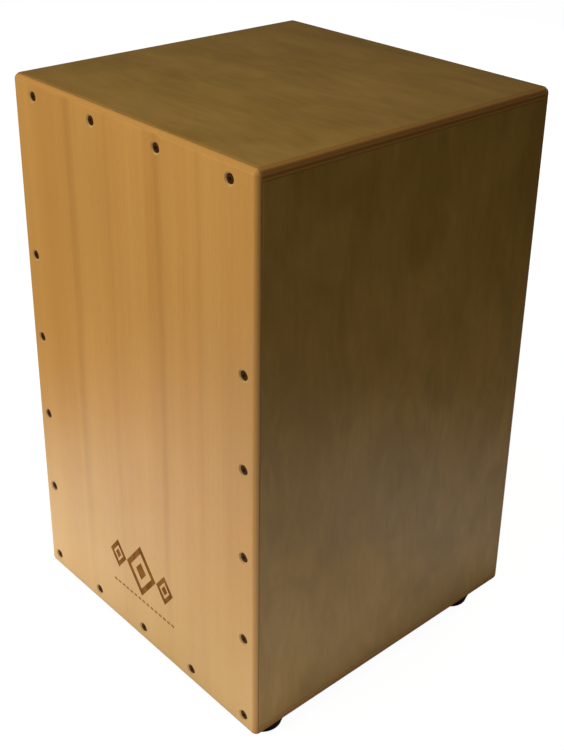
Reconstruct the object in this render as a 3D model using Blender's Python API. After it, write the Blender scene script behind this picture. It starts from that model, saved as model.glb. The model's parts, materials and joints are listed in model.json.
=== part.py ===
"""Cajon: a box drum that the player sits on, struck on its thin front plate, the tapa.

Metres, +Z up.  The origin is on the floor under the middle of the box.  The tapa faces -Y and the sound
hole faces +Y.  Left and right are those of someone looking at the tapa, so left is -X.

The box is six plywood panels round a front and a rear frame of battens.  Seventeen countersunk screws hold
the tapa to the front frame.  Inside, a snare bar turns on two pins so that its wires either touch the back
of the tapa or stand clear of it.
"""
import math

import bmesh
import bpy
from mathutils import Matrix

# Overall size
WIDTH = 0.300
DEPTH = 0.302
BODY_HEIGHT = 0.478
FOOT_HEIGHT = 0.009
EDGE_RADIUS = 0.0055
EDGE_STEPS = 4
GAP = 0.0003

# Sheets and battens
PLY = 0.009
BACK_PLY = 0.006
TAPA_PLY = 0.003
BATTEN = 0.020
OVERCUT = 0.010

# Sound hole
SOUND_HOLE_RADIUS = 0.060
SOUND_HOLE_Z = 0.268
SOUND_HOLE_STEPS = 48
SOUND_HOLE_ROUNDING = 0.002

# Tapa screws
SIDE_COLUMN_X = 0.135
BOTTOM_ROW_COUNT = 5
TOP_ROW_X = 0.121
TOP_ROW_COUNT = 4
ROW_INSET = 0.014
COLUMN_PITCH = 0.0775
COLUMN_COUNT = 4
SCREW_HEAD_RADIUS = 0.0037
SCREW_SHANK_RADIUS = 0.00175
SCREW_LENGTH = 0.020
SCREW_TIP = 0.003
SCREW_SINK = 0.0007
BORE_RADIUS = 0.00215
BORE_CLEARANCE = 0.0006
ROUND_STEPS = 12

# Feet
FOOT_X = 0.129
FOOT_FRONT_INSET = 0.025
FOOT_REAR_INSET = 0.0455
FOOT_RADIUS = 0.019
FOOT_SOLE_RADIUS = 0.0166
FOOT_SOLE_BEVEL = 0.0008
FOOT_RECESS_RADIUS = 0.008
FOOT_RECESS_DEPTH = 0.005
FOOT_STEPS = 24
WASHER_RADIUS = 0.007
WASHER_THICKNESS = 0.001
FOOT_SCREW_HEAD_RADIUS = 0.004
FOOT_SCREW_HEAD_HEIGHT = 0.0025
FOOT_SCREW_LENGTH = 0.0146

# Snare bar and its bearings
PIVOT_Y = -0.113
PIVOT_Z = 0.358
LEAN = math.radians(14)
BAR_SIDE = 0.020
BAR_CHAMFER = 0.0015
PIN_RADIUS = 0.004
PIN_LENGTH = 0.030
PIN_BORE_RADIUS = 0.0043
PIN_DEPTH_IN_BLOCK = 0.014
PIN_STEPS = 16
FELT_RADIUS = 0.010
FELT_BORE_RADIUS = 0.0045
FELT_THICKNESS = 0.0016
BLOCK_WIDTH = 0.018
BLOCK_DEPTH = 0.0288
BLOCK_HEIGHT = 0.044
BLOCK_SCREW_RISE = 0.013
BLOCK_SCREW_LENGTH = 0.024

# Snare sets
SET_X = 0.065
STRIP_WIDTH = 0.044
STRIP_HEIGHT = 0.016
STRIP_THICKNESS = 0.001
WIRE_COUNT = 10
WIRE_PITCH = 0.0042
WIRE_RADIUS = 0.0008
WIRE_STEPS = 6
WIRE_START = 0.002
WIRE_TIP_GAP = 0.0004
STRIP_SCREW_X = 0.014
STRIP_SCREW_Z = -0.004
STRIP_SCREW_HEAD_RADIUS = 0.003
STRIP_SCREW_HEAD_HEIGHT = 0.002
STRIP_SCREW_SHANK_RADIUS = 0.0014
STRIP_SCREW_LENGTH = 0.010
STRIP_BORE_RADIUS = 0.0018

# Hand lever
LEVER_RADIUS = 0.003
LEVER_BORE_RADIUS = 0.0033
LEVER_LENGTH = 0.060
LEVER_DEPTH_IN_BAR = 0.012
LEVER_DEPTH_IN_TIP = 0.008
TIP_RADIUS = 0.008
TIP_ARC_STEPS = 8

# Places worked out from the sizes above
HALF_WIDTH = WIDTH / 2
FRONT = -DEPTH / 2
BACK = DEPTH / 2
BODY_BOTTOM = FOOT_HEIGHT
BODY_TOP = FOOT_HEIGHT + BODY_HEIGHT
TAPA_BACK = FRONT + TAPA_PLY
CORPUS_FRONT = TAPA_BACK + GAP
BACK_PANEL_FRONT = BACK - BACK_PLY
CORPUS_BACK = BACK_PANEL_FRONT - GAP
INSIDE_X = HALF_WIDTH - PLY
INSIDE_BOTTOM = BODY_BOTTOM + PLY
INSIDE_TOP = BODY_TOP - PLY
BATTEN_X = INSIDE_X - GAP
BATTEN_BOTTOM = INSIDE_BOTTOM + GAP
BATTEN_TOP = INSIDE_TOP - GAP
BLOCK_INNER_X = BATTEN_X - BLOCK_WIDTH
FELT_OUTER_X = BLOCK_INNER_X - GAP
BAR_HALF_LENGTH = FELT_OUTER_X - FELT_THICKNESS - GAP

# Turns a piece made along +Z so that it runs along +Y, +X or -X
TO_REAR = Matrix.Rotation(math.radians(-90), 4, "X")
TO_RIGHT = Matrix.Rotation(math.radians(90), 4, "Y")
TO_LEFT = Matrix.Rotation(math.radians(-90), 4, "Y")
SIDES = {"left": -1, "right": 1}


def make_material(name, color, roughness, metallic=0.0):
    """Make a Principled material."""
    material = bpy.data.materials.new(name)
    material.use_nodes = True
    shader = material.node_tree.nodes["Principled BSDF"]
    shader.inputs["Base Color"].default_value = (*color, 1.0)
    shader.inputs["Roughness"].default_value = roughness
    shader.inputs["Metallic"].default_value = metallic
    return material


def make_object(name, shape, material=None, parent=None, smooth=False):
    """Turn a bmesh into an object, with its faces pointing out."""
    bmesh.ops.recalc_face_normals(shape, faces=shape.faces)
    mesh = bpy.data.meshes.new(name)
    shape.to_mesh(mesh)
    shape.free()
    obj = bpy.data.objects.new(name, mesh)
    bpy.context.collection.objects.link(obj)
    if material:
        mesh.materials.append(material)
    if smooth:
        mesh.shade_smooth()
        mesh.set_sharp_from_angle(angle=math.radians(35))
    obj.parent = parent
    return obj


def make_tool(name, shape, parent=None):
    """Make a hidden object that only shapes others through their Boolean modifiers."""
    tool = make_object(name, shape, parent=parent)
    tool.hide_render = True
    tool.display_type = "WIRE"
    return tool


def combine(obj, operation, tool):
    """Add a Boolean modifier: operation is INTERSECT, DIFFERENCE or UNION."""
    modifier = obj.modifiers.new(tool.name, "BOOLEAN")
    modifier.operation = operation
    modifier.solver = "EXACT"
    modifier.object = tool


def add_bevel(obj, width, segments):
    """Round or chamfer every edge of an object."""
    modifier = obj.modifiers.new("edges", "BEVEL")
    modifier.width = width
    modifier.segments = segments
    modifier.limit_method = "ANGLE"


def add_box(shape, low, high):
    """Add a box between two corners to a bmesh."""
    corners = bmesh.ops.create_cube(shape, size=1.0)["verts"]
    for vert in corners:
        for axis in range(3):
            vert.co[axis] = high[axis] if vert.co[axis] > 0 else low[axis]


def box(low, high):
    """Return a bmesh box between two corners."""
    shape = bmesh.new()
    add_box(shape, low, high)
    return shape


def add_turned(shape, profile, steps, place):
    """Add a solid of revolution to a bmesh.

    profile is a list of (radius, height) round +Z.  It starts and ends on the axis for a full solid, and is
    a closed loop off the axis for a ring.  place is the matrix that moves the finished solid.
    """
    rings = []
    for radius, height in profile:
        count = steps if radius > 0 else 1
        angles = [2 * math.pi * index / steps for index in range(count)]
        points = [(radius * math.cos(angle), radius * math.sin(angle), height) for angle in angles]
        rings.append([shape.verts.new(point) for point in points])
    is_ring = profile[0][0] > 0
    pairs = list(zip(rings, rings[1:]))
    if is_ring:
        pairs.append((rings[-1], rings[0]))
    for lower, upper in pairs:
        for index in range(steps):
            following = (index + 1) % steps
            quad = [lower[index % len(lower)], lower[following % len(lower)]]
            quad += [upper[following % len(upper)], upper[index % len(upper)]]
            shape.faces.new(dict.fromkeys(quad))
    bmesh.ops.transform(shape, matrix=place, verts=[vert for ring in rings for vert in ring])


def turned(profile, steps, place=Matrix()):
    """Return a bmesh solid of revolution."""
    shape = bmesh.new()
    add_turned(shape, profile, steps, place)
    return shape


def spread(first, last, count):
    """Return evenly spaced numbers from first to last."""
    return [first + (last - first) * index / (count - 1) for index in range(count)]


def countersunk_profile(head, shank, length):
    """Outline of a countersunk wood screw: flat head at height 0, point at height length."""
    return [(0, 0), (head, 0), (shank, head - shank), (shank, length - SCREW_TIP), (0, length)]


def pan_head_profile(head, head_height, shank, length):
    """Outline of a pan-head screw: head from height 0, point at height length."""
    crown = 0.3 * head_height
    outline = [(0, 0), (head - crown, 0), (head, crown), (head, head_height), (shank, head_height)]
    return outline + [(shank, length - SCREW_TIP / 2), (0, length)]


def countersunk_bore_profile(depth):
    """Outline of the bore for a countersunk screw, from above the surface at height 0 to its blind end."""
    mouth = SCREW_HEAD_RADIUS + SCREW_SINK + GAP
    outline = [(0, -OVERCUT), (mouth + OVERCUT, -OVERCUT), (BORE_RADIUS, mouth - BORE_RADIUS)]
    return outline + [(BORE_RADIUS, depth), (0, depth)]


def tapa_screw_places():
    """Return the (x, z) of each tapa screw: the bottom row, up both sides, then the top row."""
    low = BODY_BOTTOM + ROW_INSET
    high = BODY_TOP - ROW_INSET
    places = [(x, low) for x in spread(-SIDE_COLUMN_X, SIDE_COLUMN_X, BOTTOM_ROW_COUNT)]
    for step in range(1, COLUMN_COUNT + 1):
        places += [(side * SIDE_COLUMN_X, low + step * COLUMN_PITCH) for side in (-1, 1)]
    return places + [(x, high) for x in spread(-TOP_ROW_X, TOP_ROW_X, TOP_ROW_COUNT)]


def foot_places():
    """Return the name and (x, y) of each foot."""
    rows = {"front": FRONT + FOOT_FRONT_INSET, "rear": BACK - FOOT_REAR_INSET}
    return {f"{row}_{side}": (sign * FOOT_X, y) for row, y in rows.items() for side, sign in SIDES.items()}


def make_tools():
    """Make the rounded outer form and the screw bores that several pieces share."""
    form = make_tool("outer_form", box((-HALF_WIDTH, FRONT, BODY_BOTTOM), (HALF_WIDTH, BACK, BODY_TOP)))
    add_bevel(form, EDGE_RADIUS, EDGE_STEPS)

    tapa_bores = bmesh.new()
    depth = SCREW_SINK + SCREW_LENGTH + BORE_CLEARANCE
    for x, z in tapa_screw_places():
        place = Matrix.Translation((x, FRONT, z)) @ TO_REAR
        add_turned(tapa_bores, countersunk_bore_profile(depth), ROUND_STEPS, place)

    foot_bores = bmesh.new()
    screw_end = FOOT_RECESS_DEPTH - 2 * GAP - WASHER_THICKNESS - FOOT_SCREW_HEAD_HEIGHT + FOOT_SCREW_LENGTH
    bore_end = screw_end + BORE_CLEARANCE
    for x, y in foot_places().values():
        profile = [(0, 0), (BORE_RADIUS, 0), (BORE_RADIUS, bore_end), (0, bore_end)]
        add_turned(foot_bores, profile, ROUND_STEPS, Matrix.Translation((x, y, 0)))

    bearing_bores = bmesh.new()
    block_bores = bmesh.new()
    bore_start = BLOCK_INNER_X + PIN_DEPTH_IN_BLOCK + GAP - PIN_LENGTH - 2 * GAP
    bore_end = BLOCK_INNER_X + PIN_DEPTH_IN_BLOCK + GAP
    depth = SCREW_SINK + BLOCK_SCREW_LENGTH + BORE_CLEARANCE
    for side, turn in ((-1, TO_LEFT), (1, TO_RIGHT)):
        axis = Matrix.Translation((0, PIVOT_Y, PIVOT_Z)) @ turn
        profile = [(0, bore_start), (PIN_BORE_RADIUS, bore_start), (PIN_BORE_RADIUS, bore_end), (0, bore_end)]
        add_turned(bearing_bores, profile, PIN_STEPS, axis)
        head = Matrix.Translation((side * BLOCK_INNER_X, PIVOT_Y, PIVOT_Z + BLOCK_SCREW_RISE)) @ turn
        add_turned(block_bores, countersunk_bore_profile(depth), ROUND_STEPS, head)

    return {
        "form": form,
        "tapa_bores": make_tool("tapa_screw_bores", tapa_bores),
        "foot_bores": make_tool("foot_screw_bores", foot_bores),
        "bearing_bores": make_tool("pivot_pin_bores", bearing_bores),
        "block_bores": make_tool("block_screw_bores", block_bores),
    }


def make_panels(tools, veneer, birch):
    """Make the six panels.  Each is an oversize sheet trimmed to the rounded outer form."""
    far_x = HALF_WIDTH + OVERCUT
    sheets = {
        "tapa": ((-far_x, FRONT - OVERCUT, 0), (far_x, TAPA_BACK, BODY_TOP + OVERCUT)),
        "back_panel": ((-far_x, BACK_PANEL_FRONT, 0), (far_x, BACK + OVERCUT, BODY_TOP + OVERCUT)),
        "top_panel": ((-far_x, CORPUS_FRONT, INSIDE_TOP), (far_x, CORPUS_BACK, BODY_TOP + OVERCUT)),
        "bottom_panel": ((-far_x, CORPUS_FRONT, 0), (far_x, CORPUS_BACK, INSIDE_BOTTOM)),
        "side_panel_left": ((-far_x, CORPUS_FRONT, BATTEN_BOTTOM), (-INSIDE_X, CORPUS_BACK, BATTEN_TOP)),
        "side_panel_right": ((INSIDE_X, CORPUS_FRONT, BATTEN_BOTTOM), (far_x, CORPUS_BACK, BATTEN_TOP)),
    }
    panels = {}
    for name, (low, high) in sheets.items():
        panels[name] = make_object(name, box(low, high), veneer if name == "tapa" else birch)
        combine(panels[name], "INTERSECT", tools["form"])
    combine(panels["tapa"], "DIFFERENCE", tools["tapa_bores"])
    combine(panels["bottom_panel"], "DIFFERENCE", tools["foot_bores"])
    for side in SIDES:
        combine(panels[f"side_panel_{side}"], "DIFFERENCE", tools["block_bores"])
    combine(panels["back_panel"], "DIFFERENCE", make_sound_hole())


def make_sound_hole():
    """Make the tool that cuts the round sound hole, with a rounded rim on the outside."""
    radius = SOUND_HOLE_RADIUS
    rim_start = BACK - SOUND_HOLE_ROUNDING
    profile = [(0, BACK_PANEL_FRONT - OVERCUT), (radius, BACK_PANEL_FRONT - OVERCUT)]
    for angle in spread(0, math.pi / 2, EDGE_STEPS):
        flare = SOUND_HOLE_ROUNDING * (1 - math.cos(angle))
        profile.append((radius + flare, rim_start + SOUND_HOLE_ROUNDING * math.sin(angle)))
    profile[-1] = (radius + SOUND_HOLE_ROUNDING, BACK)
    profile += [(radius + SOUND_HOLE_ROUNDING, BACK + OVERCUT), (0, BACK + OVERCUT)]
    place = Matrix.Translation((0, 0, SOUND_HOLE_Z)) @ TO_REAR
    return make_tool("sound_hole", turned(profile, SOUND_HOLE_STEPS, place))


def make_frames(tools, batten):
    """Make the front and rear frames: two rails across and two stiles between them."""
    rows = {
        "front": (CORPUS_FRONT, CORPUS_FRONT + BATTEN),
        "rear": (CORPUS_BACK - BATTEN, CORPUS_BACK),
    }
    for row, (near, far) in rows.items():
        rails = {
            "bottom": (BATTEN_BOTTOM, BATTEN_BOTTOM + BATTEN),
            "top": (BATTEN_TOP - BATTEN, BATTEN_TOP),
        }
        pieces = {
            f"{row}_rail_{level}": ((-BATTEN_X, near, low), (BATTEN_X, far, high))
            for level, (low, high) in rails.items()
        }
        low = rails["bottom"][1] + GAP
        high = rails["top"][0] - GAP
        inner = BATTEN_X - BATTEN
        pieces[f"{row}_stile_left"] = ((-BATTEN_X, near, low), (-inner, far, high))
        pieces[f"{row}_stile_right"] = ((inner, near, low), (BATTEN_X, far, high))
        for name, (corner, opposite) in pieces.items():
            piece = make_object(name, box(corner, opposite), batten)
            if row == "front":
                combine(piece, "DIFFERENCE", tools["tapa_bores"])


def make_tapa_screws(black_steel):
    """Make the tapa screws, heads just below the face of the tapa."""
    profile = countersunk_profile(SCREW_HEAD_RADIUS, SCREW_SHANK_RADIUS, SCREW_LENGTH)
    for number, (x, z) in enumerate(tapa_screw_places(), start=1):
        screw = make_object(f"tapa_screw_{number:02d}", turned(profile, ROUND_STEPS, TO_REAR), black_steel,
                            smooth=True)
        screw.location = (x, FRONT + SCREW_SINK, z)


def make_feet(rubber, steel):
    """Make the four rubber feet, each with a washer and a screw up into the bottom panel."""
    top = FOOT_HEIGHT - GAP
    foot_profile = [
        (BORE_RADIUS, FOOT_RECESS_DEPTH), (FOOT_RECESS_RADIUS, FOOT_RECESS_DEPTH), (FOOT_RECESS_RADIUS, 0),
        (FOOT_SOLE_RADIUS, 0), (FOOT_SOLE_RADIUS + FOOT_SOLE_BEVEL, FOOT_SOLE_BEVEL),
        (FOOT_RADIUS, top - FOOT_SOLE_BEVEL), (FOOT_RADIUS, top), (BORE_RADIUS, top),
    ]
    washer_top = FOOT_RECESS_DEPTH - GAP
    washer_base = washer_top - WASHER_THICKNESS
    washer_profile = [
        (BORE_RADIUS, washer_base), (WASHER_RADIUS, washer_base), (WASHER_RADIUS, washer_top),
        (BORE_RADIUS, washer_top),
    ]
    screw_profile = pan_head_profile(
        FOOT_SCREW_HEAD_RADIUS, FOOT_SCREW_HEAD_HEIGHT, SCREW_SHANK_RADIUS, FOOT_SCREW_LENGTH)
    screw_base = washer_base - GAP - FOOT_SCREW_HEAD_HEIGHT
    for name, (x, y) in foot_places().items():
        foot = make_object(f"foot_{name}", turned(foot_profile, FOOT_STEPS), rubber, smooth=True)
        washer = make_object(f"foot_washer_{name}", turned(washer_profile, PIN_STEPS), steel, smooth=True)
        screw = make_object(f"foot_screw_{name}", turned(screw_profile, ROUND_STEPS), steel, smooth=True)
        foot.location = (x, y, 0)
        washer.location = (x, y, 0)
        screw.location = (x, y, screw_base)


def make_bearings(tools, batten, steel):
    """Make the two bearing blocks on the side panels, with the screw through each."""
    front = PIVOT_Y - BLOCK_DEPTH / 2
    base = PIVOT_Z - BLOCK_HEIGHT / 2
    profile = countersunk_profile(SCREW_HEAD_RADIUS, SCREW_SHANK_RADIUS, BLOCK_SCREW_LENGTH)
    for side, sign in SIDES.items():
        ends = sorted((sign * BLOCK_INNER_X, sign * BATTEN_X))
        shape = box((ends[0], front, base), (ends[1], front + BLOCK_DEPTH, base + BLOCK_HEIGHT))
        block = make_object(f"pivot_block_{side}", shape, batten)
        combine(block, "DIFFERENCE", tools["bearing_bores"])
        combine(block, "DIFFERENCE", tools["block_bores"])
        turn = TO_RIGHT if sign > 0 else TO_LEFT
        screw = make_object(f"block_screw_{side}", turned(profile, ROUND_STEPS, turn), steel, smooth=True)
        screw.location = (sign * (BLOCK_INNER_X + SCREW_SINK), PIVOT_Y, PIVOT_Z + BLOCK_SCREW_RISE)


def make_snare_bar(tools, pivot, batten, steel, felt):
    """Make the turning bar, its pivot pins and the felt washers that hold it where it is put."""
    half = BAR_SIDE / 2
    bar = make_object(
        "snare_bar", box((-BAR_HALF_LENGTH, -half, -half), (BAR_HALF_LENGTH, half, half)), batten, pivot)
    add_bevel(bar, BAR_CHAMFER, 1)
    combine(bar, "DIFFERENCE", tools["bearing_bores"])

    bores = bmesh.new()
    strip_bore = [(0, -half - OVERCUT), (STRIP_BORE_RADIUS, -half - OVERCUT)]
    strip_bore += [(STRIP_BORE_RADIUS, STRIP_SCREW_LENGTH - half), (0, STRIP_SCREW_LENGTH - half)]
    for x in strip_screw_places():
        add_turned(bores, strip_bore, ROUND_STEPS, Matrix.Translation((x, 0, STRIP_SCREW_Z)) @ TO_REAR)
    lever_bore = [(0, -half - OVERCUT), (LEVER_BORE_RADIUS, -half - OVERCUT)]
    lever_bore += [(LEVER_BORE_RADIUS, LEVER_DEPTH_IN_BAR + GAP - half), (0, LEVER_DEPTH_IN_BAR + GAP - half)]
    add_turned(bores, lever_bore, ROUND_STEPS, Matrix())
    combine(bar, "DIFFERENCE", make_tool("snare_bar_bores", bores, pivot))

    pin_end = BLOCK_INNER_X + PIN_DEPTH_IN_BLOCK
    pin = [(0, pin_end - PIN_LENGTH), (PIN_RADIUS, pin_end - PIN_LENGTH), (PIN_RADIUS, pin_end), (0, pin_end)]
    inner = FELT_OUTER_X - FELT_THICKNESS
    washer = [(FELT_BORE_RADIUS, inner), (FELT_RADIUS, inner)]
    washer += [(FELT_RADIUS, FELT_OUTER_X), (FELT_BORE_RADIUS, FELT_OUTER_X)]
    for side, turn in (("left", TO_LEFT), ("right", TO_RIGHT)):
        make_object(f"pivot_pin_{side}", turned(pin, PIN_STEPS, turn), steel, pivot, smooth=True)
        make_object(f"felt_washer_{side}", turned(washer, PIN_STEPS, turn), felt, pivot, smooth=True)


def strip_screw_places():
    """Return the x of each screw that holds a snare set to the bar."""
    return [set_x + x for set_x in (-SET_X, SET_X) for x in (-STRIP_SCREW_X, STRIP_SCREW_X)]


def make_snare_sets(pivot, wire_steel, steel):
    """Make the two snare sets, a strip with its wires each, and the screws that hold them."""
    face = -BAR_SIDE / 2 - GAP
    strip_front = face - STRIP_THICKNESS
    wire_y = strip_front - WIRE_RADIUS / 2
    reach = PIVOT_Y - TAPA_BACK - WIRE_TIP_GAP
    wire_end = (reach + (wire_y - WIRE_RADIUS) * math.cos(LEAN)) / math.sin(LEAN)
    wire = [(0, WIRE_START), (WIRE_RADIUS, WIRE_START), (WIRE_RADIUS, wire_end), (0, wire_end)]
    half_row = WIRE_PITCH * (WIRE_COUNT - 1) / 2
    for side, sign in SIDES.items():
        centre = sign * SET_X
        wires = bmesh.new()
        for x in spread(centre - half_row, centre + half_row, WIRE_COUNT):
            add_turned(wires, wire, WIRE_STEPS, Matrix.Translation((x, wire_y, 0)))
        holes = bmesh.new()
        bore = [(0, strip_front - OVERCUT), (STRIP_BORE_RADIUS, strip_front - OVERCUT)]
        bore += [(STRIP_BORE_RADIUS, 0), (0, 0)]
        for x in (centre - STRIP_SCREW_X, centre + STRIP_SCREW_X):
            add_turned(holes, bore, ROUND_STEPS, Matrix.Translation((x, 0, STRIP_SCREW_Z)) @ TO_REAR)
        low = (centre - STRIP_WIDTH / 2, strip_front, -STRIP_HEIGHT / 2)
        high = (centre + STRIP_WIDTH / 2, face, STRIP_HEIGHT / 2)
        snare = make_object(f"snare_set_{side}", box(low, high), wire_steel, pivot)
        combine(snare, "UNION", make_tool(f"snare_wires_{side}", wires, pivot))
        combine(snare, "DIFFERENCE", make_tool(f"strip_holes_{side}", holes, pivot))

    profile = pan_head_profile(
        STRIP_SCREW_HEAD_RADIUS, STRIP_SCREW_HEAD_HEIGHT, STRIP_SCREW_SHANK_RADIUS, STRIP_SCREW_LENGTH)
    for number, x in enumerate(strip_screw_places(), start=1):
        screw = make_object(f"snare_screw_{number}", turned(profile, ROUND_STEPS, TO_REAR), steel, pivot,
                            smooth=True)
        screw.location = (x, strip_front - GAP - STRIP_SCREW_HEAD_HEIGHT, STRIP_SCREW_Z)


def make_lever(pivot, steel, wood):
    """Make the hand lever that hangs from the bar, and its ball tip."""
    top = LEVER_DEPTH_IN_BAR - BAR_SIDE / 2
    bottom = top - LEVER_LENGTH
    rod = [(0, bottom), (LEVER_RADIUS, bottom), (LEVER_RADIUS, top), (0, top)]
    make_object("snare_lever", turned(rod, ROUND_STEPS), steel, pivot, smooth=True)

    floor = bottom - GAP
    centre = bottom + LEVER_DEPTH_IN_TIP - TIP_RADIUS
    mouth_angle = math.acos(LEVER_BORE_RADIUS / TIP_RADIUS)
    ball = [(0, centre - TIP_RADIUS)]
    for angle in spread(-math.pi / 2, mouth_angle, TIP_ARC_STEPS)[1:]:
        ball.append((TIP_RADIUS * math.cos(angle), centre + TIP_RADIUS * math.sin(angle)))
    ball += [(LEVER_BORE_RADIUS, floor), (0, floor)]
    make_object("lever_tip", turned(ball, PIN_STEPS), wood, pivot, smooth=True)


def main():
    """Clear the scene and build the drum."""
    for obj in list(bpy.data.objects):
        bpy.data.objects.remove(obj)

    veneer = make_material("tapa_veneer", (0.56, 0.31, 0.11), 0.35)
    birch = make_material("birch_ply", (0.45, 0.30, 0.13), 0.40)
    batten = make_material("batten_wood", (0.62, 0.46, 0.27), 0.65)
    rubber = make_material("black_rubber", (0.015, 0.015, 0.015), 0.75)
    black_steel = make_material("black_steel", (0.03, 0.022, 0.018), 0.45, 1.0)
    steel = make_material("zinc_steel", (0.62, 0.62, 0.60), 0.35, 1.0)
    wire_steel = make_material("wire_steel", (0.70, 0.69, 0.66), 0.28, 1.0)
    felt = make_material("grey_felt", (0.16, 0.16, 0.16), 0.95)

    tools = make_tools()
    make_panels(tools, veneer, birch)
    make_frames(tools, batten)
    make_tapa_screws(black_steel)
    make_feet(rubber, steel)
    make_bearings(tools, batten, steel)

    pivot = bpy.data.objects.new("snare_pivot", None)
    bpy.context.collection.objects.link(pivot)
    pivot.location = (0, PIVOT_Y, PIVOT_Z)
    pivot.rotation_euler = (LEAN, 0, 0)
    make_snare_bar(tools, pivot, batten, steel, felt)
    make_snare_sets(pivot, wire_steel, steel)
    make_lever(pivot, steel, batten)


main()
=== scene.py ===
"""Looks of the cajon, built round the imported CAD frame.  Metres, +Z up, the tapa faces -Y."""
import json
import math

import bmesh
import bpy
from mathutils import Matrix, Vector


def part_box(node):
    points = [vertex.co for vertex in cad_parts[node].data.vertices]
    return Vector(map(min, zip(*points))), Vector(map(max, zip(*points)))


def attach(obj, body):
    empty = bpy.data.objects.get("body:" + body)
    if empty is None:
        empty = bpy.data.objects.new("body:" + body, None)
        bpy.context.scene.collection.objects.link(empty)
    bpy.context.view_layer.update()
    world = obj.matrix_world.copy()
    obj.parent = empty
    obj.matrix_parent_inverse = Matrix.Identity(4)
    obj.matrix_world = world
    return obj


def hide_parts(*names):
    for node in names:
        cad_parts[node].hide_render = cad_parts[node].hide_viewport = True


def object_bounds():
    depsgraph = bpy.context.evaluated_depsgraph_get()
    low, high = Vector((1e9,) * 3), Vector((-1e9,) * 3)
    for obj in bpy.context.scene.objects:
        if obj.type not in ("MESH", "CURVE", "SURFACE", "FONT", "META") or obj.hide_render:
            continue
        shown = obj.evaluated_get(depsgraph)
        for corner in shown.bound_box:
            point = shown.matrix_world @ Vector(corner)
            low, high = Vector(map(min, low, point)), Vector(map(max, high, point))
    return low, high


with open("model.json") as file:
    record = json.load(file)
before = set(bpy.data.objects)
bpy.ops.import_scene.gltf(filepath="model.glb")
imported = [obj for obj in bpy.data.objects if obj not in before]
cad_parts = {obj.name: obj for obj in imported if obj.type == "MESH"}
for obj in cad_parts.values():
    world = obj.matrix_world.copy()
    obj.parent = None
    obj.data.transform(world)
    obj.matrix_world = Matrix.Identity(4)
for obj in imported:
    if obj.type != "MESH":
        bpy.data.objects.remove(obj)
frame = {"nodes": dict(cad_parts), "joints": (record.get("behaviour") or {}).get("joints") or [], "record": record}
cad_low, cad_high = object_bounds()
tapa_low, tapa_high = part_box("tapa")
back_low, back_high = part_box("back_panel")
top_low, top_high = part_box("top_panel")
bottom_low, bottom_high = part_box("bottom_panel")
side_low, side_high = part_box("side_panel_right")

BODY = "drum_body"
SNARE = "snare_assembly"
X, Y, Z = range(3)

# Turns that point +Z another way, how fine round shapes are, and how far cutters reach past a piece
TO_REAR = Matrix.Rotation(math.radians(-90), 4, "X")
TO_RIGHT = Matrix.Rotation(math.radians(90), 4, "Y")
TO_LEFT = Matrix.Rotation(math.radians(-90), 4, "Y")
ROUND_STEPS = 40
SMOOTH_ANGLE = math.radians(32)
OVERCUT = 0.01

# Panels: the round on the box's edges, the gap between panels, and the sound hole
EDGE_RADIUS = 0.0055
EDGE_STEPS = 10
SEAM = 0.0003
SOUND_HOLE_RADIUS = 0.060
RIM_ROUNDING = 0.002

# Plies: thickness of the face veneers, number of plies between them, how far the lines between plies waver,
# and how far the core shows into a face veneer, as a part of a ply
FACE_VENEER = 0.0004
TAPA_CORE = 1
BACK_CORE = 3
CORPUS_CORE = 5
PLY_WAVER = 0.0002
PLY_MARGIN = 0.07

# Screws with a cross recess, how far each is turned on from the last, and the holes in the tapa
SCREW_HEAD = 0.0037
SCREW_SHANK = 0.00175
SCREW_RIM = 0.0002
SCREW_POINT = 0.003
SCREW_SINK = 0.0007
TAPA_SCREW_LENGTH = 0.020
BLOCK_SCREW_LENGTH = 0.024
TAPA_SCREW_TURN = 2.4
FOOT_SCREW_TURN = 1.0
SNARE_SCREW_TURN = 1.1
RECESS_REACH = 0.0021
RECESS_DEPTH = 0.0019
RECESS_OVERCUT = 0.001
RECESS_HALF_WIDTH = 0.00055
RECESS_LENGTH_TAPER = 0.3
RECESS_WIDTH_TAPER = 0.55
PAN_POINT = 0.0015
PAN_DOME = 0.62
PAN_RECESS = 0.7
HOLE_MOUTH = 0.0050
HOLE_RADIUS = 0.00215
HOLE_DEPTH = 0.005

# Rubber feet: the hollow under each, how far the sole is drawn in, the rounds on their edges, and how far
# they press into the bottom
FOOT_HOLLOW_RADIUS = 0.008
FOOT_HOLLOW_HEIGHT = 0.005
FOOT_TAPER = 0.0024
FOOT_CEILING_ROUND = 0.0006
FOOT_RIM_ROUND = 0.0008
FOOT_SOLE_ROUND = 0.0012
FOOT_SQUEEZE = 0.0002
WASHER_CHAMFER = 0.0002

# Snares: how far they lean with the bar at rest, and their sizes along the bar and out from its axis
SNARE_LEAN = math.radians(14)
SET_X = 0.065
STRIP_FRONT = -0.0113
STRIP_HALF_WIDTH = 0.022
STRIP_HALF_HEIGHT = 0.008
STRIP_THICKNESS = 0.0012
STRIP_CORNER = 0.0025
STRIP_HOLE = 0.0018
STRIP_SCREW_X = 0.014
STRIP_SCREW_Z = -0.004
STRIP_SCREW_PROUD = 0.0021
WIRES = 10
WIRE_PITCH = 0.0042
WIRE_START = 0.002
WIRE_END = 0.0928
WIRE_RADIUS = 0.0002
WIRE_SIDES = 5
COIL_RADIUS = 0.0008
COIL_PITCH = 0.0014
COIL_STEPS = 8

# Lever, with its ball centred on the rod's lower end, and the felt washers round the pins
LEVER_TOP = 0.002
LEVER_END = -0.058
LEVER_RADIUS = 0.003
LEVER_ROUND = 0.0005
BALL_RADIUS = 0.008
BALL_MOUTH = 0.0033
BALL_FLOOR = LEVER_END - 0.0003
FELT_HOLE = 0.0045
FELT_RADIUS = 0.010
FELT_SQUEEZE = 0.0002
FELT_CHAMFER = 0.0004

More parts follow.
